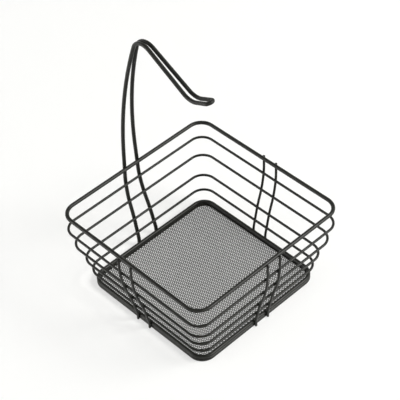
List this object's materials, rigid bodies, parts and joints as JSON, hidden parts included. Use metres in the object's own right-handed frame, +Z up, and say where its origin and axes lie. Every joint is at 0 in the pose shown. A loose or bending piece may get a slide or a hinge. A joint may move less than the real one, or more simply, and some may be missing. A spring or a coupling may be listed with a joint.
{
  "type": "wire fruit basket with banana hook",
  "caption": "Square wire basket with flared open walls, a mesh floor and a tall bent-wire hook at the back for hanging a bunch of bananas.",
  "frame": {"origin": "on the surface that the basket stands on, under the middle of the whole object's outline", "axes": "+Z up, +Y towards the back, where the hook stands, and +X to the right of someone facing the front"},
  "size_m": [0.3024, 0.3044, 0.4098],
  "materials": {
    "wire_coat": "satin black powder coat",
    "mesh_coat": "satin black powder coat on expanded metal"
  },
  "bodies": {
    "root": {"rim_ring": "wire_coat", "wall_ring_1": "wire_coat", "wall_ring_2": "wire_coat", "wall_ring_3": "wire_coat", "wall_ring_4": "wire_coat", "base_ring_upper": "wire_coat", "base_ring_lower": "wire_coat", "floor_mesh": "mesh_coat", "rib_left_front": "wire_coat", "rib_left_back": "wire_coat", "rib_right_front": "wire_coat", "rib_right_back": "wire_coat", "rib_front_left": "wire_coat", "rib_front_right": "wire_coat", "banana_hook": "wire_coat"}
  },
  "joints": []
}
